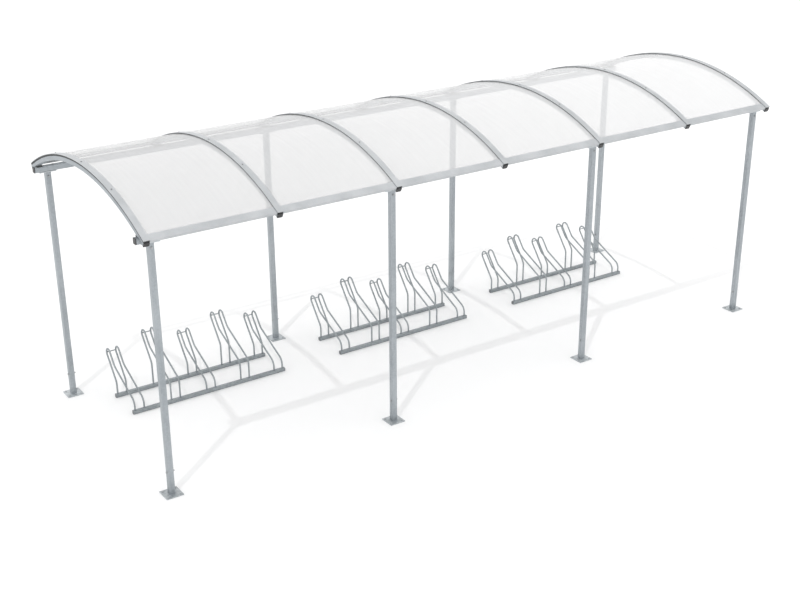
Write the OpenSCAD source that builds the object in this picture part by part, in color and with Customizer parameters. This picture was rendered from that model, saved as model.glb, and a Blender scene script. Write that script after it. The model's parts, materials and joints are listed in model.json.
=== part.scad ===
// Arched bike shelter: eight square posts carry two beams, seven arched ribs
// stand on the beams, and six clear sheets are clamped between the ribs.
// Three two-level cycle racks stand on the ground under the rear half.
// X runs along the shelter, -Y is the front, and z = 0 is the ground.

/* [Frame] */
// Distance between neighbouring ribs
rib_pitch = 1120; // [900:10:1250]
// Distance between the front and rear rows of posts, centre to centre
row_spacing = 2164; // [1700:4:2400]
// Height of the tops of the posts
post_top = 2170; // [1700:10:2800]
// How far each end post stands inside its end rib
end_post_inset = 71; // [60:1:200]
// Side of the square tube of the posts and beams, and width of the ribs
tube = 50; // [40:1:60]
// Wall of that tube
tube_wall = 3; // [2:0.5:5]
// Outer radius of the rounded corners of that tube
tube_corner = 6; // [6:0.5:10]
// How far each beam runs on past the centre of the end rib
beam_overhang = 42; // [32:1:120]

/* [Feet and heads] */
// Side of the square base plate
base_plate = 150; // [130:1:200]
// Thickness of the base plate
base_plate_t = 8; // [6:1:15]
// Spacing of the anchor holes, both ways
anchor_spacing = 110; // [90:1:120]
// Diameter of the anchor holes
anchor_hole = 13; // [9:1:16]
// Height of the stub that stands inside the foot of each post
foot_stub = 260; // [240:5:400]
// Wall of the stubs inside the posts
stub_wall = 3; // [2:0.5:5]
// Height of the cross bolt at the foot of each post
foot_bolt_z = 206; // [150:1:225]
// Length of the plate on each post head
head_plate = 150; // [130:1:200]
// Thickness of the plate on each post head
head_plate_t = 8; // [6:1:12]
// Spacing of the two beam bolts on each post head
head_bolt_spacing = 110; // [90:1:120]
// Length of the stub that hangs inside the head of each post
head_stub = 80; // [60:5:200]
// How far the cross bolt at the post head lies below the top of the post
head_bolt_drop = 36; // [20:1:45]
// Diameter of the holes for the frame bolts
bolt_hole = 11; // [9:1:12]

/* [Roof] */
// Radius of the ribs at their upper face
rib_radius = 2520; // [2200:10:3400]
// Height of the flat tube of the ribs
rib_h = 40; // [36:1:50]
// How far the outer top edge of each beam is let into the ribs
rib_seat = 9; // [6:0.5:11]
// Half of the angle that the arch spans, in degrees
half_angle = 28.3; // [27.5:0.1:29]
// Thickness of the clear sheets
sheet_t = 4; // [3:0.5:8]
// Thickness of each of the two rubber layers of the gasket
gasket_t = 4; // [2:0.5:6]
// Width of the rubber web between two sheets
gasket_web = 16; // [10:1:24]
// How far the clamp strips run past the ribs on each side
strip_edge = 2; // [0:0.5:10]
// Thickness of the clamp strips
strip_t = 5; // [3:0.5:8]
// How far the eave trim reaches up the sheet
trim_reach = 68; // [30:1:80]
// How far the lip of the eave trim hangs below the sheet
trim_drop = 14; // [10:1:26]
// Wall of the eave trim
trim_t = 3; // [2:0.5:4]
// Thickness of the flat side of the pad between a beam and a rib
pad_t = 4; // [3:0.5:6]
// Thickness of the flange of the plastic end caps
cap_t = 7; // [4:0.5:10]
// Depth of the plug of the plastic end caps
cap_plug = 25; // [15:1:40]

/* [Cycle racks] */
// Distance between the middles of neighbouring racks
rack_pitch = 2210; // [1800:10:2600]
// Distance between the two rails of a rack
rail_spacing = 400; // [350:5:480]
// Distance from the middle of the shelter to each rear rail
rear_rail_y = 768; // [650:2:850]
// Side of the square rails
rail = 35; // [30:1:50]
// Wall of the rails
rail_wall = 2.5; // [2:0.5:4]
// Outer radius of the rounded corners of the rails
rail_corner = 5; // [5:0.5:8]
// Distance between neighbouring wheel holders
holder_pitch = 360; // [300:5:380]
// How far each rail runs on past the middle of the last holder
rail_overhang = 64; // [60:1:150]
// Diameter of the bent rods
rod = 16; // [12:1:20]
// Clear width of a wheel slot, between its two rods
slot_w = 74; // [40:1:80]
// Height of the middle of the top loop of a low holder
low_loop_z = 397; // [360:1:480]
// How much higher the high holders are
lift = 101; // [60:1:200]
// Radius of the top loop, at the middle of the rod
loop_r = 45; // [30:1:48]
// How far the top loop leans out behind the rear rail
loop_lean = 134; // [100:1:170]
// Slope of the leaning legs, in degrees
lean_angle = 52; // [48:1:58]
// Slope of the front leg below its bend, in degrees
front_slope = 25; // [20:1:30]
// Radius of the bends in the rods, at the middle of the rod
bend_r = 80; // [20:1:90]
// Diameter of the bar between the two loops of a holder
cross_bar = 10; // [8:1:12]

/* [Hidden] */
bays = 6;
racks = 3;
holders = 5;
seat_gap = 0.3; // between curved faces that seat on each other
fit_gap = 0.5; // between a plug or stub and the tube round it
least_corner = 0.5; // radius of the sharpest corner inside a tube
over = 1; // how far a cut runs past a face, and a stub into its plate
run_in = 1; // how far a straight stretch of rod reaches into the bend at its end
hair = 0.3; // how much thinner a straight stretch of rod is than its bends
arch_fn = 360; // steps that a full turn of the arch is drawn in
$fn = 48;

rib_x = [for (i = [0 : bays]) (i - bays / 2) * rib_pitch];
end_post_x = bays / 2 * rib_pitch - end_post_inset;
post_x = [-end_post_x, -rib_pitch, rib_pitch, end_post_x];
row_y = row_spacing / 2;
plug = plug_side(tube);
plug_corner = inner_corner(tube_corner, tube_wall);
beam_len = bays * rib_pitch + 2 * beam_overhang;
beam_z = post_top + head_plate_t;
beam_top = beam_z + tube;

// The arch: each rib is notched over its beams, deepest at their outer edge.
rib_inner_r = rib_radius - rib_h;
beam_edge_y = row_y + tube / 2;
arch_z = beam_top - rib_seat - sqrt(pow(rib_inner_r, 2) - pow(beam_edge_y, 2));
gasket_r = rib_radius + seat_gap;
sheet_r = gasket_r + gasket_t + seat_gap;
upper_r = sheet_r + sheet_t + seat_gap;
strip_r = upper_r + gasket_t + seat_gap;
strip_w = tube + 2 * strip_edge;
sheet_end = half_angle - degrees_along(trim_t + seat_gap, sheet_r);

// The rod of a holder lies in a plane across the rails. Its points are
// [distance behind the rear rail, height].
lean_dir = [cos(lean_angle), sin(lean_angle)];
lean_normal = [sin(lean_angle), -cos(lean_angle)];
rack_x = [for (i = [0 : racks - 1]) (i - (racks - 1) / 2) * rack_pitch];
holder_x = [for (i = [0 : holders - 1]) (i - (holders - 1) / 2) * holder_pitch];
rail_len = (holders - 1) * holder_pitch + 2 * rail_overhang;
rod_x = (slot_w + rod) / 2;
// Where the front leg bends, as a distance down from the top loop
front_leg = 143;
// How far round the top loop its cross bar sits, in degrees from the rear leg
bar_turn = 35;

galvanised = [0.66, 0.70, 0.72];
clamp_grey = [0.78, 0.80, 0.82];
rack_grey = [0.54, 0.58, 0.60];
cap_black = [0.10, 0.11, 0.11];
rubber_grey = [0.36, 0.38, 0.39];
clear_sheet = [0.92, 0.94, 0.95, 0.35];

POSTS = [for (i = [1 : 4]) str("post_front_", i), for (i = [1 : 4]) str("post_rear_", i)];
RIBS = [for (i = [1 : bays + 1]) str("rib_", i)];
SHEETS = [for (i = [1 : bays]) str("roof_sheet_", i)];
RACK_PARTS = ["rails", "low_holders", "high_holders"];
RACKS = [for (i = [1 : racks]) for (p = RACK_PARTS) str("rack_", i, "_", p)];

// Angle in degrees that a length takes up along a circle
function degrees_along(len, r) = len / r * 180 / PI;

// Radius of the corners inside a tube
function inner_corner(corner, wall) = max(corner - wall, least_corner);

// Side of the plug that fits in a tube with an outer side
function plug_side(side) = side - 2 * tube_wall - 2 * fit_gap;

// A rectangle with rounded corners
module rounded_box(w, d, corner) {
    square([w, d - 2 * corner], center = true);
    square([w - 2 * corner, d], center = true);
    for (x = [-1, 1], y = [-1, 1])
        translate([x * (w / 2 - corner), y * (d / 2 - corner)]) circle(r = corner);
}

// The section of a tube with rounded corners
module tube_section(w, d, wall, corner) {
    difference() {
        rounded_box(w, d, corner);
        rounded_box(w - 2 * wall, d - 2 * wall, inner_corner(corner, wall));
    }
}

// A square tube standing on z = 0
module square_tube(side, wall, corner, height) {
    linear_extrude(height) tube_section(side, side, wall, corner);
}

// Turns a shape that stands on z = 0 so that it runs along X from x = 0
module along_x() {
    rotate([90, 0, 90]) children();
}

// A profile carried round the arch from angle a0 to a1. In the profile,
// X is the radius and Y runs along the shelter.
module round_arch(a0, a1) {
    translate([0, 0, arch_z]) rotate([0, -90, 0]) rotate([0, 0, a0])
        rotate_extrude(angle = a1 - a0, $fn = arch_fn) children();
}

// A band of the arch between two radii and two places along the shelter
module arch_band(r0, r1, x0, x1, a0 = -half_angle, a1 = half_angle) {
    round_arch(a0, a1) translate([r0, -x1]) square([r1 - r0, x1 - x0]);
}

// Places a shape at an angle round the arch, with Z pointing outwards
module at_arch(angle, r) {
    translate([0, 0, arch_z]) rotate([-angle, 0, 0]) translate([0, 0, r]) children();
}

// Puts one copy at each post of a row; side is -1 for the front, 1 for the rear
module each_post(side) {
    for (x = post_x) translate([x, side * row_y, 0]) children();
}

module post(x, side) {
    color(galvanised) translate([x, side * row_y, 0]) difference() {
        translate([0, 0, base_plate_t])
            square_tube(tube, tube_wall, tube_corner, post_top - base_plate_t);
        foot_bolt_hole();
        head_bolt_hole();
    }
}

module foot_bolt_hole() {
    translate([-tube, 0, foot_bolt_z]) rotate([0, 90, 0]) cylinder(h = 2 * tube, d = bolt_hole);
}

module head_bolt_hole() {
    translate([0, tube, post_top - head_bolt_drop]) rotate([90, 0, 0])
        cylinder(h = 2 * tube, d = bolt_hole);
}

// A flat plate with an anchor hole at each corner and the stub that the
// post drops over
module base_plates(side) {
    color(galvanised) each_post(side) difference() {
        union() {
            translate([-base_plate / 2, -base_plate / 2, 0]) cube([base_plate, base_plate, base_plate_t]);
            square_tube(plug, stub_wall, plug_corner, base_plate_t + foot_stub);
        }
        for (x = [-1, 1], y = [-1, 1])
            translate([x * anchor_spacing / 2, y * anchor_spacing / 2, -over])
                cylinder(h = base_plate_t + 2 * over, d = anchor_hole);
        foot_bolt_hole();
    }
}

// The plate that the beam is bolted to, with its stub down inside the post
module head_plates(side) {
    color(galvanised) each_post(side) difference() {
        union() {
            translate([-head_plate / 2, -tube / 2, post_top]) cube([head_plate, tube, head_plate_t]);
            translate([0, 0, post_top - head_stub])
                square_tube(plug, stub_wall, plug_corner, head_stub + over);
        }
        beam_bolt_holes();
        head_bolt_hole();
    }
}

module beam_bolt_holes() {
    for (x = [-1, 1]) translate([x * head_bolt_spacing / 2, 0, post_top - over])
        cylinder(h = head_plate_t + tube + 2 * over, d = bolt_hole);
}

module beam(side) {
    color(galvanised) difference() {
        translate([-beam_len / 2, side * row_y, beam_z + tube / 2])
            along_x() square_tube(tube, tube_wall, tube_corner, beam_len);
        each_post(side) beam_bolt_holes();
    }
}

// A flange over the end of a tube, at z = 0, with a plug down inside it
module tube_cap(w, d) {
    linear_extrude(cap_t) rounded_box(w, d, tube_corner);
    translate([0, 0, -cap_plug]) linear_extrude(cap_plug + cap_t / 2)
        rounded_box(plug_side(w), plug_side(d), plug_corner);
}

module beam_end_caps() {
    color(cap_black) for (side = [-1, 1], end = [0, 180])
        translate([0, side * row_y, beam_z + tube / 2]) rotate([0, 0, end])
            translate([beam_len / 2, 0, 0]) along_x() tube_cap(tube, tube);
}

// A pad on the beam. It is flat in the notch of the rib, and inside the
// notch it thickens into a wedge under the curve.
module rib_pads(side) {
    color(cap_black) for (x = rib_x) translate([x - tube / 2, 0, 0]) {
        translate([0, side * row_y - tube / 2, beam_top]) cube([tube, tube, pad_t]);
        intersection() {
            translate([0, side * row_y - tube / 2, beam_top]) cube(tube);
            translate([0, 0, arch_z]) rotate([0, 90, 0])
                cylinder(h = tube, r = rib_inner_r - seat_gap, $fn = arch_fn);
        }
    }
}

module rib(x) {
    color(galvanised) difference() {
        round_arch(-half_angle, half_angle)
            translate([rib_radius - rib_h / 2, -x]) tube_section(rib_h, tube, tube_wall, tube_corner);
        for (side = [-1, 1]) mirror([0, side < 0 ? 1 : 0, 0]) rib_notch(x);
    }
}

// The notch that seats a rib on its pad, with its upright face just clear of
// the outer side of the beam
module rib_notch(x) {
    translate([x - tube, row_y - tube, beam_top - tube])
        cube([2 * tube, beam_edge_y + seat_gap - (row_y - tube), tube + pad_t]);
}

module rib_caps(side) {
    color(cap_black) for (x = rib_x) translate([x, 0, 0]) mirror([0, side < 0 ? 1 : 0, 0])
        at_arch(half_angle, rib_radius - rib_h / 2) rotate([-90, 0, 0]) tube_cap(tube, rib_h);
}

// Rubber under and over the edges of the sheets, joined by a web between
// them. At an end rib the web fills the side that has no sheet.
module rib_gaskets() {
    color(rubber_grey) for (i = [0 : bays]) {
        web_0 = i == 0 ? tube / 2 : gasket_web / 2;
        web_1 = i == bays ? tube / 2 : gasket_web / 2;
        x = rib_x[i];
        arch_band(gasket_r, gasket_r + gasket_t, x - tube / 2, x + tube / 2);
        arch_band(gasket_r, upper_r + gasket_t, x - web_0, x + web_1);
        arch_band(upper_r, upper_r + gasket_t, x - tube / 2, x + tube / 2);
    }
}

// A flat bar that presses the sheets down on the rib
module clamp_strips() {
    color(clamp_grey) for (x = rib_x)
        arch_band(strip_r, strip_r + strip_t, x - strip_w / 2, x + strip_w / 2);
}

module roof_sheet(i) {
    color(clear_sheet) arch_band(sheet_r, sheet_r + sheet_t,
        rib_x[i] + gasket_web / 2 + fit_gap, rib_x[i + 1] - gasket_web / 2 - fit_gap,
        -sheet_end, sheet_end);
}

// A channel over the edge of each sheet, with a lip that hangs below it
module eave_trim(side) {
    start = half_angle - degrees_along(trim_reach, sheet_r);
    back = half_angle - degrees_along(trim_t, sheet_r);
    under_r = sheet_r - seat_gap;
    color(clamp_grey) for (i = [0 : bays - 1]) mirror([0, side < 0 ? 1 : 0, 0]) {
        x0 = rib_x[i] + strip_w / 2 + seat_gap;
        x1 = rib_x[i + 1] - strip_w / 2 - seat_gap;
        difference() {
            arch_band(under_r - trim_drop, upper_r + trim_t, x0, x1, start, half_angle);
            arch_band(under_r, upper_r, x0 - over, x1 + over, start - over, back);
            arch_band(under_r - trim_drop - over, under_r - trim_t,
                x0 - over, x1 + over, start - over, back);
        }
    }
}

module rack_rails(i) {
    color(rack_grey) for (y = [rear_rail_y, rear_rail_y - rail_spacing])
        translate([rack_x[i] - rail_len / 2, y, rail / 2]) along_x()
            square_tube(rail, rail_wall, rail_corner, rail_len);
}

// The corners of a rod, from the rear foot over the top loop to the front
// foot; up is how much the holder is lifted
function loop_mid(up) = [loop_lean, low_loop_z + up];
function rear_tangent(up) = loop_mid(up) + loop_r * lean_normal;
function front_tangent(up) = loop_mid(up) - loop_r * lean_normal;
function rear_bend(up) = rear_tangent(up) - lean_dir * rear_tangent(up)[0] / lean_dir[0];
function front_bend(up) = front_tangent(up) - lean_dir * front_leg;
function foot_bend(up) = [-rail_spacing,
    front_bend(up)[1] - (front_bend(up)[0] + rail_spacing) * tan(front_slope)];

// Length that a bend takes off each of the two straights that meet there
function bend_cut(turn) = bend_r * tan(turn / 2);

// A straight stretch of rod between two bends, drawn in the plane of the
// rod. Its ends reach a little way into the bends; a foot starts flat on
// its rail instead.
module rod_straight(from, to, foot = false) {
    step = to - from;
    start = foot ? 0 : run_in;
    translate(from) rotate([0, 0, atan2(step[1], step[0])]) rotate([0, 90, 0])
        translate([0, 0, -start]) cylinder(h = norm(step) + start + run_in, d = rod - hair);
}

// A bend of a rod round a centre, from angle a0 through a turn
module rod_bend(centre, r, a0, turn) {
    translate(centre) rotate([0, 0, a0]) rotate_extrude(angle = turn)
        translate([r, 0]) circle(d = rod);
}

module holder_rod(up) {
    rear_turn = 90 - lean_angle;
    front_turn = lean_angle - front_slope;
    foot_turn = 90 - front_slope;
    slope_dir = [cos(front_slope), sin(front_slope)];
    down = [0, -1];
    a = rear_bend(up) + down * bend_cut(rear_turn);
    b = rear_bend(up) + lean_dir * bend_cut(rear_turn);
    c = front_bend(up) + lean_dir * bend_cut(front_turn);
    d = front_bend(up) - slope_dir * bend_cut(front_turn);
    e = foot_bend(up) + slope_dir * bend_cut(foot_turn);
    f = foot_bend(up) + down * bend_cut(foot_turn);
    rod_straight([0, rail], a, foot = true);
    rod_bend(a + [bend_r, 0], bend_r, 180 - rear_turn, rear_turn);
    rod_straight(b, rear_tangent(up));
    rod_bend(loop_mid(up), loop_r, lean_angle - 90, 180);
    rod_straight(c, front_tangent(up));
    rod_bend(c - bend_r * lean_normal, bend_r, lean_angle - 90 - front_turn, front_turn);
    rod_straight(e, d);
    rod_bend(f + [bend_r, 0], bend_r, 90 + front_slope, foot_turn);
    rod_straight([-rail_spacing, rail], f, foot = true);
}

// Two bent rods with a bar between their top loops
module holder(up) {
    bar = loop_mid(up) + loop_r * (cos(bar_turn) * lean_normal + sin(bar_turn) * lean_dir);
    for (x = [-rod_x, rod_x]) translate([x, rear_rail_y, 0]) rotate([90, 0, 90]) holder_rod(up);
    translate([-rod_x, rear_rail_y + bar[0], bar[1]]) rotate([0, 90, 0])
        cylinder(h = 2 * rod_x, d = cross_bar);
}

module rack_holders(i, high) {
    color(rack_grey) for (k = [high ? 1 : 0 : 2 : holders - 1])
        translate([rack_x[i] + holder_x[k], 0, 0]) holder(high ? lift : 0);
}

for (i = [0 : 3]) {
    post(post_x[i], -1);
    post(post_x[i], 1);
}
base_plates(-1);  // front_base_plates
base_plates(1);  // rear_base_plates
head_plates(-1);  // front_head_plates
head_plates(1);  // rear_head_plates
beam(-1);  // front_beam
beam(1);  // rear_beam
beam_end_caps();
rib_pads(-1);  // front_rib_pads
rib_pads(1);  // rear_rib_pads
for (i = [0 : bays]) rib(rib_x[i]);
rib_caps(-1);  // front_rib_caps
rib_caps(1);  // rear_rib_caps
rib_gaskets();
clamp_strips();
for (i = [0 : bays - 1]) roof_sheet(i);
eave_trim(-1);  // front_eave_trim
eave_trim(1);  // rear_eave_trim
for (i = [0 : racks - 1]) {
    rack_rails(i);
    rack_holders(i, false);
    rack_holders(i, true);
}
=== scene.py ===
import json
import math

import bpy
import numpy as np
from mathutils import Matrix, Vector


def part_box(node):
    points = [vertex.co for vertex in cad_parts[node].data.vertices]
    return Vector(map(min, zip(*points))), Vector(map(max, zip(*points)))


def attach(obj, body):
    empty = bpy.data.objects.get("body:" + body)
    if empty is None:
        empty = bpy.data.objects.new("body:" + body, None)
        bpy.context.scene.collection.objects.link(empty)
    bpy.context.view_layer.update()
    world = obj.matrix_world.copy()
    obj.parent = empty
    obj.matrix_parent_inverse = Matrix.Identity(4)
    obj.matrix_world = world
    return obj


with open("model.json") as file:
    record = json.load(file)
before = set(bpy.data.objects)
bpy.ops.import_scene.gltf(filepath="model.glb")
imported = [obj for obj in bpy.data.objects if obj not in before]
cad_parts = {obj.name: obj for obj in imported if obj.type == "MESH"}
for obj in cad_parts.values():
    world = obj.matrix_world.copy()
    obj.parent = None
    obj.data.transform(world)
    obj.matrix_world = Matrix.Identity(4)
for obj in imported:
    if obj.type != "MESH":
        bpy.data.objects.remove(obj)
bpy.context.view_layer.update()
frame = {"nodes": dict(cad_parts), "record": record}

# Arched bike shelter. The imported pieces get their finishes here, and the
# bolts, nuts, screws, plugs and weld beads that hold them are added.
# Lengths are in metres. X runs along the shelter and -Y is its front.

nodes = frame["nodes"]
mounts = {mount["name"]: mount for mount in frame["record"]["mounts"]}

MM = 0.001

# ---------------------------------------------------------------- sizes

POSTS_IN_ROW = 4
BAYS = 6
RACKS = 3
HOLDERS = 5

HEAD_BOLT_SPACING = 110 * MM      # of the two bolts through each head plate
FOOT_BOLT_HEIGHT = 206 * MM       # of the cross bolt in each post foot
HEAD_BOLT_DROP = 36 * MM          # of the cross bolt below each post top
RIB_HEIGHT = 40 * MM              # of the flat tube of the ribs
SCREW_STEP = 13.6                 # degrees along the arch between strip screws
ROD = 16 * MM                     # diameter of the rack rods
SLOT = 74 * MM                    # clear width of a wheel slot
BAR = 10 * MM                     # diameter of the bar across a slot
LOOP_RADIUS = 45 * MM             # of the loops at the top of a holder
LEAN = math.radians(52)           # slope of the leaning legs of a holder
BAR_TURN = math.radians(35)       # of the bar round the loop, from the rear leg
BEAD = 2.4 * MM                   # thickness of a weld bead


# ------------------------------------------------- surfaces worked out here

def round_bar(radius, angles):
    """The radius itself, whatever the angle."""
    return radius + 0 * angles


def hexagon_bar(across):
    """The smaller of the radius and of a hexagon's edge, which lies
    across / 2 / cos(angle from the middle of the nearest flat)."""
    def shape(radius, angles):
        from_flat = (angles + math.pi / 6) % (math.pi / 3) - math.pi / 6
        return np.minimum(radius, across / 2 / np.cos(from_flat))
    return shape


def squared_bar(power):
    """The radius divided by (|cos|^power + |sin|^power)^(1/power), which
    turns a circle into a square with round corners."""
    def shape(radius, angles):
        spread = np.abs(np.cos(angles)) ** power + np.abs(np.sin(angles)) ** power
        return radius * spread ** (-1 / power)
    return shape


def turned(profile, shape=round_bar, sides=24):
    """A closed surface round the Z axis. The profile is a list of (radius,
    height) that starts and ends on the axis; the point at angle a is
    (r cos a, r sin a, height), where r is shape(radius, a)."""
    radius, height = np.array(profile, float).T
    angles = np.arange(sides) * 2 * math.pi / sides
    r = shape(radius[1:-1, None], angles[None, :])
    z = np.broadcast_to(height[1:-1, None], r.shape)
    rings = np.stack([r * np.cos(angles), r * np.sin(angles), z], -1).reshape(-1, 3)
    points = np.vstack([[[0, 0, height[0]]], rings, [[0, 0, height[-1]]]])
    column = np.arange(sides)
    following = (column + 1) % sides
    first = 1 + np.arange(len(radius) - 3)[:, None] * sides
    quads = np.stack([first + column, first + following,
                      first + sides + following, first + sides + column], -1).reshape(-1, 4)
    last = len(points) - 1
    bottom = np.stack([0 * column, 1 + following, 1 + column], -1)
    top = np.stack([0 * column + last, last - sides + column, last - sides + following], -1)
    return points, quads.tolist() + bottom.tolist() + top.tolist()


def ring_bead(radius, thickness, ripples=11, around=22, section=8):
    """A closed bead round the Z axis: a torus whose section swells by a
    tenth with the sine of ripples times the angle, and that is laid as a
    fillet, so its middle circle is a third of its thickness above z = 0."""
    a = (np.arange(around) * 2 * math.pi / around)[:, None]
    b = (np.arange(section) * 2 * math.pi / section)[None, :]
    swell = thickness * (1 + 0.1 * np.sin(ripples * a))
    r = radius + swell * np.cos(b)
    z = thickness / 3 + swell * np.sin(b)
    points = np.stack([r * np.cos(a), r * np.sin(a), z + 0 * a], -1).reshape(-1, 3)
    i = np.arange(around)[:, None] * section
    next_i = (np.arange(around)[:, None] + 1) % around * section
    j = np.arange(section)[None, :]
    next_j = (j + 1) % section
    quads = np.stack([i + j, next_i + j, next_i + next_j, i + next_j], -1).reshape(-1, 4)
    return points, quads.tolist()


def joined(shells):
    """Several shells as one, each one's faces counted on from the last."""
    points, faces, start = [], [], 0
    for shell_points, shell_faces in shells:
        points.append(shell_points)
        faces += [[corner + start for corner in face] for face in shell_faces]
        start += len(shell_points)
    return np.vstack(points), faces


def placed(shell, places):
    """A copy of the shell at each place, a 4 x 4 matrix: p' = R p + t."""
    points, faces = shell
    places = np.array([np.array(place) for place in places])
    moved = np.einsum("mij,nj->mni", places[:, :3, :3], points) + places[:, None, :3, 3]
    starts = np.arange(len(places)) * len(points)
    copies = [[corner + start for corner in face] for start in starts.tolist() for face in faces]
    return moved.reshape(-1, 3), copies


def piece(name, shell, finish, smooth_angle=35):
    """A piece of the shelter from a shell, with its edges sharp where two
    faces meet at more than smooth_angle degrees."""
    points, faces = shell
    mesh = bpy.data.meshes.new(name)
    mesh.from_pydata(points.tolist(), [], faces)
    mesh.polygons.foreach_set("use_smooth", np.ones(len(faces), bool))
    mesh.set_sharp_from_angle(angle=math.radians(smooth_angle))
    mesh.materials.append(finish)
    mesh.update()
    made = bpy.data.objects.new(name, mesh)
    bpy.context.scene.collection.objects.link(made)
    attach(made, "root")
    return made


# --------------------------------------------------------- bolts and plugs

def washer(outer, thickness, base=0.0):
    """A flat disc with its rim rounded over."""
    rim = thickness * 0.3
    return turned([(0, base), (outer - rim, base), (outer, base + rim),
                   (outer, base + thickness - rim), (outer - rim, base + thickness),
                   (0, base + thickness)], sides=32)


def hexagon(across, height, base=0.0):
    """A nut or a bolt head: a hexagon with both faces chamfered."""
    corner = across / 2 / math.cos(math.pi / 6)
    face, chamfer = across * 0.47, height * 0.13
    return turned([(0, base), (face, base), (corner, base + chamfer),
                   (corner, base + height - chamfer), (face, base + height), (0, base + height)],
                  hexagon_bar(across))


def thread_end(diameter, pitch, base, top):
    """The end of a screw: its radius goes in and out once in each pitch,
    and its tip is chamfered."""
    radius, depth = diameter / 2, 0.5 * pitch
    turns = max(1, round((top - base) / pitch) - 1)
    profile = [(0, base), (radius - depth, base)]
    for turn in range(turns):
        profile += [(radius, base + (turn + 0.5) * pitch), (radius - depth, base + (turn + 1) * pitch)]
    profile += [(radius - depth, top - 0.3 * pitch), (radius - 2 * depth, top), (0, top)]
    return turned(profile)


M8 = dict(diameter=8 * MM, pitch=1.25 * MM, across=13 * MM, head=5.3 * MM, nut=4.0 * MM,
          washer=8 * MM, washer_t=1.6 * MM)
M10 = dict(diameter=10 * MM, pitch=1.5 * MM, across=16 * MM, head=6.4 * MM, nut=8.4 * MM,
           washer=10 * MM, washer_t=2 * MM)


def head_and_washer(size):
    """A bolt head on its washer, standing on z = 0."""
    return joined([washer(size["washer"], size["washer_t"]),
                   hexagon(size["across"], size["head"], size["washer_t"])])


def nut_and_end(size, end):
    """A nut on its washer, with the bolt's end standing out of it."""
    nut_top = size["washer_t"] + size["nut"]
    return joined([washer(size["washer"], size["washer_t"]),
                   hexagon(size["across"], size["nut"], size["washer_t"]),
                   thread_end(size["diameter"], size["pitch"], nut_top - size["pitch"], nut_top + end)])


def strip_screw():
    """A screw with a low hexagon head and a flange, on z = 0."""
    return joined([washer(6.5 * MM, 1.2 * MM), hexagon(8 * MM, 3.6 * MM, 1.2 * MM)])


def rail_plug(side):
    """A plug in the end of a square rail: a flange as wide as the rail with
    a low crowned face, standing out of the rail along Z."""
    half = side / 2
    return turned([(0, -8 * MM), (half * 0.8, -8 * MM), (half * 0.8, 0), (half, 0),
                   (half, 2.4 * MM), (half * 0.97, 3.6 * MM), (half * 0.88, 4.4 * MM),
                   (half * 0.6, 5.2 * MM), (half * 0.3, 5.5 * MM), (0, 5.6 * MM)],
                  squared_bar(7), sides=40)


# --------------------------------------------------------------- finishes

class Field:
    """A value or colour that varies over a surface: one output socket of a
    finish. Arithmetic on it adds Math nodes."""

    def __init__(self, finish, socket):
        self.finish = finish
        self.socket = socket

    def _math(self, operation, *values):
        return self.finish.add("ShaderNodeMath", dict(operation=operation), dict(enumerate(values)))

    def __add__(self, other):
        return self._math("ADD", self, other)

    def __radd__(self, other):
        return self._math("ADD", other, self)

    def __sub__(self, other):
        return self._math("SUBTRACT", self, other)

    def __mul__(self, other):
        return self._math("MULTIPLY", self, other)

    def __rmul__(self, other):
        return self._math("MULTIPLY", other, self)


class Finish:
    """A material made of nodes, with one Principled shader."""

    def __init__(self, name, **constants):
        self.material = bpy.data.materials.new(name)
        self.material.use_nodes = True
        self.tree = self.material.node_tree
        self.shader = self.tree.nodes["Principled BSDF"]
        for socket, value in constants.items():
            self.shader.inputs[socket.replace("_", " ")].default_value = value
        self.place = self.add("ShaderNodeTexCoord", {}, {}, "Object")

    def add(self, kind, settings, inputs, output=0):
        """A node of a kind. Its settings come first, then the values or
        links of its inputs; what comes back is one of its outputs."""
        node = self.tree.nodes.new(kind)
        for name, value in settings.items():
            setattr(node, name, value)
        for name, value in inputs.items():
            if isinstance(value, Field):
                self.tree.links.new(value.socket, node.inputs[name])
            else:
                node.inputs[name].default_value = value
        return Field(self, node.outputs[output])

    def wear(self, socket, field):
        """Lets a field drive one of the shader's sockets."""
        self.tree.links.new(field.socket, self.shader.inputs[socket])

    def stretched(self, x, y, z):
        """The place on the piece, scaled along each axis."""
        return self.add("ShaderNodeVectorMath", dict(operation="MULTIPLY"),
                        {0: self.place, 1: (x, y, z)})

    def noise(self, scale, detail=2.0, place=None, roughness=0.5):
        """Cloudy noise from about 0.2 to 0.8."""
        return self.add("ShaderNodeTexNoise", {},
                        {"Vector": place or self.place, "Scale": scale, "Detail": detail,
                         "Roughness": roughness})

    def cells(self, scale, place=None):
        """One random value from 0 to 1 for each crystal-shaped cell."""
        colour = self.add("ShaderNodeTexVoronoi", dict(feature="F1"),
                          {"Vector": place or self.place, "Scale": scale}, "Color")
        return self.add("ShaderNodeSeparateColor", {}, {"Color": colour})

    def ramp(self, field, low, high, to_low=0.0, to_high=1.0):
        """The field carried smoothly from low..high to to_low..to_high."""
        return self.add("ShaderNodeMapRange", dict(interpolation_type="SMOOTHSTEP"),
                        {"Value": field, "From Min": low, "From Max": high,
                         "To Min": to_low, "To Max": to_high})

    def height(self):
        """Height above the ground."""
        return self.add("ShaderNodeSeparateXYZ", {}, {0: self.place}, "Z")

    def along(self):
        """Distance along the shelter from its middle."""
        return self.add("ShaderNodeSeparateXYZ", {}, {0: self.place}, "X")

    def mixed(self, factor, low, high):
        """The colour low where the factor is 0, and high where it is 1."""
        return self.add("ShaderNodeMix", dict(data_type="RGBA"),
                        {"Factor": factor, 6: colour_of(low), 7: colour_of(high)}, 2)

    def bump(self, field, distance, strength=1.0):
        """Raises the surface by a field times a distance."""
        self.wear("Normal", self.add("ShaderNodeBump", {},
                                     {"Height": field, "Distance": distance, "Strength": strength}))


def colour_of(colour):
    """A colour as a socket takes it, or a field left as it is."""
    return colour if isinstance(colour, Field) else (*colour, 1.0)


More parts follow.
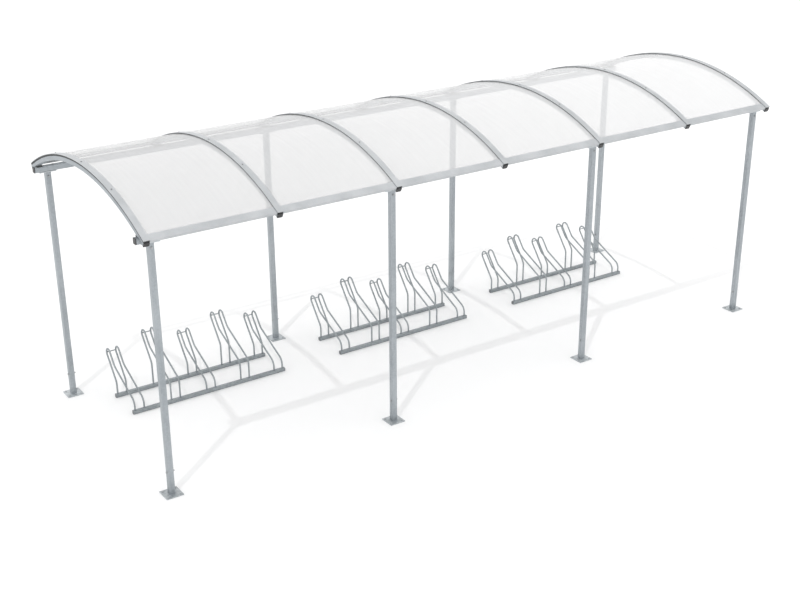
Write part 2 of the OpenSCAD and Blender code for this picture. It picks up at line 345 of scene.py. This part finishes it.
def zinc(name, dark, bright, run=(1, 1, 1), cell=75, metallic=0.8, roughness=0.40, grime_and_foot_shade=0.5):
    """Hot-dip zinc: crystal cells, soft clouds, and faint runs drawn out
    along the piece, and darker low down: dust and splashes, with painted shade where the piece meets
    the ground."""
    finish = Finish(name, Metallic=metallic)
    crystals = finish.cells(cell)
    clouds = finish.noise(3.2, 4.0)
    runs = finish.noise(60, 3.0, finish.stretched(*run))
    grain = finish.noise(420, 2.0)
    tone = 0.5 + 0.34 * (crystals - 0.5) + 0.9 * (clouds - 0.5) + 0.7 * (runs - 0.5)
    metal = finish.mixed(finish.ramp(tone, 0.0, 1.0), dark, bright)
    # Darker towards the ground: dust and splashes mixed with painted shade at the foot of the piece.
    low = finish.ramp(finish.height(), 0.0, 0.16, 1.0, 0.0)
    splash_and_foot_shade = grime_and_foot_shade * low * finish.ramp(finish.noise(38, 5.0), 0.35, 0.75)
    dust_and_shade_colour = tuple(0.72 * channel for channel in dark)
    finish.wear("Base Color", finish.mixed(splash_and_foot_shade, metal, dust_and_shade_colour))
    finish.wear("Roughness", roughness + 0.12 * crystals + 0.16 * (clouds - 0.5) + 0.2 * splash_and_foot_shade)
    finish.bump(0.5 * crystals + 0.8 * runs + 0.35 * grain, 0.25 * MM, 0.5)
    return finish.material


def aluminium(name, dark, bright):
    """Extruded aluminium: fine die lines along the piece and dull patches."""
    finish = Finish(name, Metallic=0.75)
    lines = finish.noise(1.0, 2.0, finish.stretched(900, 14, 14))
    patches = finish.noise(5.0, 4.0)
    tone = 0.5 + 0.5 * (lines - 0.5) + 1.1 * (patches - 0.5)
    finish.wear("Base Color", finish.mixed(finish.ramp(tone, 0.1, 0.9), dark, bright))
    finish.wear("Roughness", 0.34 + 0.14 * lines + 0.18 * (patches - 0.5))
    finish.bump(lines, 0.08 * MM, 0.4)
    return finish.material


def clear_sheet(name):
    """Clear sheet with a faint milky veil, and a painted reflection that makes it
    a little paler towards the right end of the roof. It thickens in soft patches and in rain marks that
    run down the slope, and at the sawn edges."""
    finish = Finish(name, Metallic=0.0, IOR=1.58)
    patches = finish.noise(1.6, 3.0)
    marks = finish.noise(1.0, 4.0, finish.stretched(36, 2.2, 2.2))
    dust = finish.noise(260, 2.0)
    along = finish.add("ShaderNodeSeparateXYZ", {},
                       {0: finish.add("ShaderNodeNewGeometry", {}, {}, "Normal")}, "X")
    edge = finish.ramp(along * along, 0.5, 0.9)
    film = (patches - 0.5) * 0.06 + (marks - 0.5) * 0.04 + (dust - 0.5) * 0.02
    # Painted reflection: the veil is painted paler towards the right end of the roof, where the sheets
    # are seen more glancingly.
    sheen_along_roof = finish.ramp(finish.along(), -4.0, 4.0)
    veil_and_sheen = finish.mixed(sheen_along_roof, (0.628, 0.628, 0.632), (0.770, 0.770, 0.774))
    finish.wear("Base Color", finish.mixed(edge, veil_and_sheen, (0.48, 0.52, 0.52)))
    finish.wear("Alpha", finish.ramp(0.517 + film + 0.35 * edge, 0.0, 1.0))
    finish.wear("Roughness", 0.10 + 0.25 * (marks - 0.3) * (marks - 0.3) + 0.1 * dust)
    finish.bump(patches, 1.2 * MM, 0.2)
    return finish.material


def moulded(name, dark, bright, roughness):
    """Moulded plastic or rubber: a fine grain, with pale dust in patches."""
    finish = Finish(name, Metallic=0.0)
    grain = finish.noise(900, 2.0)
    dust = finish.noise(24, 5.0)
    finish.wear("Base Color", finish.mixed(finish.ramp(dust, 0.35, 0.75), dark, bright))
    finish.wear("Roughness", roughness + 0.25 * (dust - 0.5) + 0.1 * (grain - 0.5))
    finish.bump(grain, 0.12 * MM, 0.5)
    return finish.material


ZINC_DARK, ZINC_BRIGHT = (0.312, 0.340, 0.362), (0.440, 0.471, 0.494)
# The plates' zinc is the posts' zinc painted lighter: painted light standing in for the light on the
# base plates' up-facing tops.
PLATE_LIT_DARK, PLATE_LIT_BRIGHT = (0.420, 0.450, 0.465), (0.620, 0.650, 0.670)
RACK_DARK, RACK_BRIGHT = (0.270, 0.296, 0.310), (0.395, 0.426, 0.442)

post_zinc = zinc("post_zinc", ZINC_DARK, ZINC_BRIGHT, run=(1, 1, 0.06))
beam_zinc = zinc("beam_zinc", ZINC_DARK, ZINC_BRIGHT, run=(0.06, 1, 1))
rib_zinc = zinc("rib_zinc", ZINC_DARK, ZINC_BRIGHT, run=(1, 0.08, 0.2))
plate_zinc_painted_light = zinc("plate_zinc_painted_light", PLATE_LIT_DARK, PLATE_LIT_BRIGHT, cell=110, grime_and_foot_shade=0.4)
rail_zinc = zinc("rail_zinc", RACK_DARK, RACK_BRIGHT, run=(0.08, 1, 1), grime_and_foot_shade=0.4)
rod_zinc = zinc("rod_zinc", RACK_DARK, RACK_BRIGHT, run=(1, 0.3, 0.2), cell=120, grime_and_foot_shade=0.3)
weld_zinc = zinc("weld_zinc", (0.16, 0.18, 0.19), RACK_BRIGHT, cell=300, roughness=0.5)
bolt_zinc = zinc("bolt_zinc", (0.30, 0.31, 0.32), (0.52, 0.53, 0.54), cell=500, metallic=0.95,
                 roughness=0.28, grime_and_foot_shade=0.6)
anchor_zinc = zinc("anchor_zinc", (0.46, 0.48, 0.49), (0.64, 0.66, 0.67), cell=500, grime_and_foot_shade=0.3)
screw_steel = zinc("screw_steel", (0.16, 0.165, 0.17), (0.30, 0.305, 0.31), cell=500,
                   roughness=0.35)
strip_aluminium = aluminium("strip_aluminium", (0.43, 0.45, 0.465), (0.57, 0.585, 0.60))
roof_clear = clear_sheet("roof_clear")
cap_plastic = moulded("cap_plastic", (0.016, 0.017, 0.018), (0.045, 0.046, 0.047), 0.42)
plug_plastic = moulded("plug_plastic", (0.150, 0.163, 0.171), (0.230, 0.245, 0.255), 0.45)
gasket_rubber = moulded("gasket_rubber", (0.035, 0.037, 0.039), (0.075, 0.078, 0.080), 0.70)


def finish_nodes():
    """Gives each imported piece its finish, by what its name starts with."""
    by_name = [("post", post_zinc), ("front_base", plate_zinc_painted_light), ("rear_base", plate_zinc_painted_light),
               ("front_head", plate_zinc_painted_light), ("rear_head", plate_zinc_painted_light), ("front_beam", beam_zinc),
               ("rear_beam", beam_zinc), ("beam_end_caps", cap_plastic),
               ("front_rib", cap_plastic), ("rear_rib", cap_plastic),
               ("rib_gaskets", gasket_rubber), ("rib_", rib_zinc), ("clamp", strip_aluminium),
               ("roof_sheet", roof_clear), ("front_eave", strip_aluminium),
               ("rear_eave", strip_aluminium)]
    by_name += [(f"rack_{rack}_rails", rail_zinc) for rack in range(1, RACKS + 1)]
    by_name += [("rack", rod_zinc)]
    for name, node in nodes.items():
        finish = next(finish for start, finish in by_name if name.startswith(start))
        for slot in node.material_slots:
            slot.material = finish


finish_nodes()


# ------------------------------------------------- places read off the frame

def middle(node):
    """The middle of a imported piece's box."""
    low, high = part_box(node)
    return (low + high) / 2


def facing(direction, place):
    """A matrix that turns +Z to a direction and moves to a place."""
    turn = Vector(direction).to_track_quat("Z", "Y").to_matrix().to_4x4()
    return Matrix.Translation(place) @ turn


post_low, post_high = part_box("post_front_1")
beam_low, beam_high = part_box("front_beam")
tube = beam_high.z - beam_low.z
plate_top = post_low.z
posts = [(middle(f"post_{row}_{i}"), side)
         for row, side in (("front", -1), ("rear", 1)) for i in range(1, POSTS_IN_ROW + 1)]
anchor_reach = mounts["anchor_front_left"]["dims"]["spacing_x_mm"] * MM / 2


def arch_of(rib):
    """Centre height, outer radius and half angle of an arch, from its box.
    With t = tan(half angle / 2), half width w, height h and rib height s,
    (w t - h)(1 + t^2) + s (1 - t^2) = 0."""
    low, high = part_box(rib)
    w, h = (high.y - low.y) / 2, high.z - low.z
    roots = np.roots([w, -(h + RIB_HEIGHT), w, RIB_HEIGHT - h])
    t = float(roots[np.abs(roots.imag) < 1e-9].real.min())
    half_angle = 2 * math.atan(t)
    radius = w / math.sin(half_angle)
    return high.z - radius, radius, half_angle


arch_z, rib_radius, half_angle = arch_of("rib_1")
strip_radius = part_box("clamp_strips")[1].z - arch_z


# ------------------------------------------------------------ frame bolts

def anchors():
    """A low screw head at each corner of each base plate."""
    places = [facing((0, 0, 1), (post.x + x * anchor_reach, post.y + y * anchor_reach, plate_top))
              for post, _ in posts for x in (-1, 1) for y in (-1, 1)]
    piece("ground_anchors", placed(head_and_washer(M10), places), anchor_zinc)


def cross_bolts():
    """A bolt across each post foot, along X, and across each post head,
    along Y, with its head on the outer side."""
    heads, ends = [], []
    for post, side in posts:
        outwards = -1 if post.x < 0 else 1
        foot = Vector((post.x, post.y, FOOT_BOLT_HEIGHT))
        top = Vector((post.x, post.y, post_high.z - HEAD_BOLT_DROP))
        heads += [facing((-1, 0, 0), foot - Vector((tube / 2, 0, 0))),
                  facing((0, side, 0), top + Vector((0, side * tube / 2, 0)))]
        ends += [facing((1, 0, 0), foot + Vector((tube / 2, 0, 0))),
                 facing((0, -side, 0), top - Vector((0, side * tube / 2, 0)))]
    piece("cross_bolts", joined([placed(head_and_washer(M10), heads),
                                 placed(nut_and_end(M10, 6 * MM), ends)]),
          bolt_zinc)


def beam_bolts():
    """Two bolts down through the beam and the head plate over each post."""
    spots = [(post.x + x * HEAD_BOLT_SPACING / 2, post.y) for post, _ in posts for x in (-1, 1)]
    heads = [facing((0, 0, 1), (x, y, beam_high.z)) for x, y in spots]
    ends = [facing((0, 0, -1), (x, y, post_high.z)) for x, y in spots]
    piece("beam_bolts", joined([placed(head_and_washer(M8), heads),
                                placed(nut_and_end(M8, 1.5 * MM), ends)]),
          bolt_zinc)


def strip_screws():
    """Three screws along each clamp strip, square to the arch."""
    places = []
    for i in range(1, BAYS + 2):
        x = middle(f"rib_{i}").x
        for step in (-1, 0, 1):
            angle = math.radians(step * SCREW_STEP)
            out = Vector((0, math.sin(angle), math.cos(angle)))
            places.append(facing(out, Vector((x, 0, arch_z)) + strip_radius * out))
    piece("strip_screws", placed(strip_screw(), places), screw_steel)


# ------------------------------------------------------------- rack details

def rack_details():
    """Plugs in the rail ends, beads where the rods stand on the rails, and
    beads at the ends of the bar across each slot."""
    plugs, feet, bars = [], [], []
    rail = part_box("rack_1_rails")[1].z
    lean = Vector((0, math.cos(LEAN), math.sin(LEAN)))
    square = Vector((0, math.sin(LEAN), -math.cos(LEAN)))
    for rack in range(1, RACKS + 1):
        low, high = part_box(f"rack_{rack}_rails")
        low_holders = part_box(f"rack_{rack}_low_holders")
        high_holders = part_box(f"rack_{rack}_high_holders")
        pitch = (low_holders[1].x - low_holders[0].x - SLOT - 2 * ROD) / (HOLDERS - 1)
        centre = (low.x + high.x) / 2
        rail_ys = (low.y + rail / 2, high.y - rail / 2)
        plugs += [facing((end, 0, 0), (centre + end * (high.x - low.x) / 2, y, rail / 2))
                  for end in (-1, 1) for y in rail_ys]
        for k in range(HOLDERS):
            x = centre + (k - (HOLDERS - 1) / 2) * pitch
            top = (high_holders if k % 2 else low_holders)[1]
            loop = Vector((x, top.y - LOOP_RADIUS - ROD / 2, top.z - LOOP_RADIUS - ROD / 2))
            bar = loop + LOOP_RADIUS * (math.cos(BAR_TURN) * square + math.sin(BAR_TURN) * lean)
            for side in (-1, 1):
                rod_x = x + side * (SLOT + ROD) / 2
                feet += [facing((0, 0, 1), (rod_x, y, rail)) for y in rail_ys]
                bars.append(facing((-side, 0, 0), (x + side * SLOT / 2, bar.y, bar.z)))
    piece("rail_plugs", placed(rail_plug(rail), plugs), plug_plastic)
    piece("foot_welds", placed(ring_bead(ROD / 2, BEAD), feet), weld_zinc)
    piece("bar_welds", placed(ring_bead(BAR / 2, BEAD / 2, 7), bars), weld_zinc)


anchors()
cross_bolts()
beam_bolts()
strip_screws()
rack_details()


# ---------------------------------------------------- floor, light, camera

FLOOR_HALF = 60.0                # from the middle of the floor to each side
FLOOR_DROP = 0.5 * MM            # of the floor below the plates
SUN_POWER = 0.42
SUN_WIDTH = math.radians(0.8)
SUN_FROM = Vector((-0.79, -0.61, 1.66))
SUN_HEIGHT = 8.0
SKY = 1.14
CAMERA_PLACE = Vector((-6.721, -9.444, 5.451))
CAMERA_HEADING = math.radians(34.18)
CAMERA_PITCH = math.radians(-23.02)
CAMERA_ROLL = math.radians(-0.32)
CAMERA_LENS = 57.05              # with a sensor 36 wide
CAMERA_SENSOR = 36.0
CAMERA_REACH = 200.0


def floor():
    """A plain pale floor, just under the plates."""
    finish = Finish("pale_floor", Metallic=0.0, Specular_IOR_Level=0.1)
    mottle = finish.noise(0.8, 4.0)
    finish.wear("Base Color", finish.mixed(mottle, (0.925, 0.925, 0.926), (0.940, 0.940, 0.940)))
    finish.wear("Roughness", 0.75 + 0.1 * mottle)
    mesh = bpy.data.meshes.new("floor")
    mesh.from_pydata([(x * FLOOR_HALF, y * FLOOR_HALF, -FLOOR_DROP)
                      for x, y in ((-1, -1), (1, -1), (1, 1), (-1, 1))], [], [(0, 1, 2, 3)])
    mesh.materials.append(finish.material)
    made = bpy.data.objects.new("floor", mesh)
    bpy.context.scene.collection.objects.link(made)


def lights():
    """An even white sky, and a soft sun from the front left."""
    world = bpy.data.worlds.new("white_sky")
    world.use_nodes = True
    sky = world.node_tree.nodes["Background"]
    sky.inputs["Color"].default_value = (1.0, 1.0, 1.0, 1.0)
    sky.inputs["Strength"].default_value = SKY
    bpy.context.scene.world = world
    sun = bpy.data.lights.new("sun", "SUN")
    sun.energy = SUN_POWER
    sun.angle = SUN_WIDTH
    lamp = bpy.data.objects.new("sun", sun)
    lamp.matrix_world = facing(SUN_FROM, (0, 0, SUN_HEIGHT))
    bpy.context.scene.collection.objects.link(lamp)


def camera():
    """A camera in front of the near left corner, looking down along the
    shelter. Its heading is measured from +Y towards +X."""
    heading, pitch, roll = CAMERA_HEADING, CAMERA_PITCH, CAMERA_ROLL
    forward = Vector((math.sin(heading) * math.cos(pitch),
                      math.cos(heading) * math.cos(pitch), math.sin(pitch)))
    right = Vector((math.cos(heading), -math.sin(heading), 0))
    up = right.cross(forward)
    rolled = math.cos(roll) * right + math.sin(roll) * up
    upright = math.cos(roll) * up - math.sin(roll) * right
    data = bpy.data.cameras.new("camera")
    data.lens = CAMERA_LENS
    data.sensor_width = CAMERA_SENSOR
    data.clip_end = CAMERA_REACH
    made = bpy.data.objects.new("camera", data)
    turn = Matrix((rolled, upright, -forward)).transposed().to_4x4()
    made.matrix_world = Matrix.Translation(CAMERA_PLACE) @ turn
    bpy.context.scene.collection.objects.link(made)
    bpy.context.scene.camera = made


floor()
lights()
camera()
bpy.context.scene.view_settings.view_transform = "Standard"

for name, node in nodes.items():
    if name.startswith("roof_sheet"):
        node.visible_shadow = False     # clear sheet lets the light through
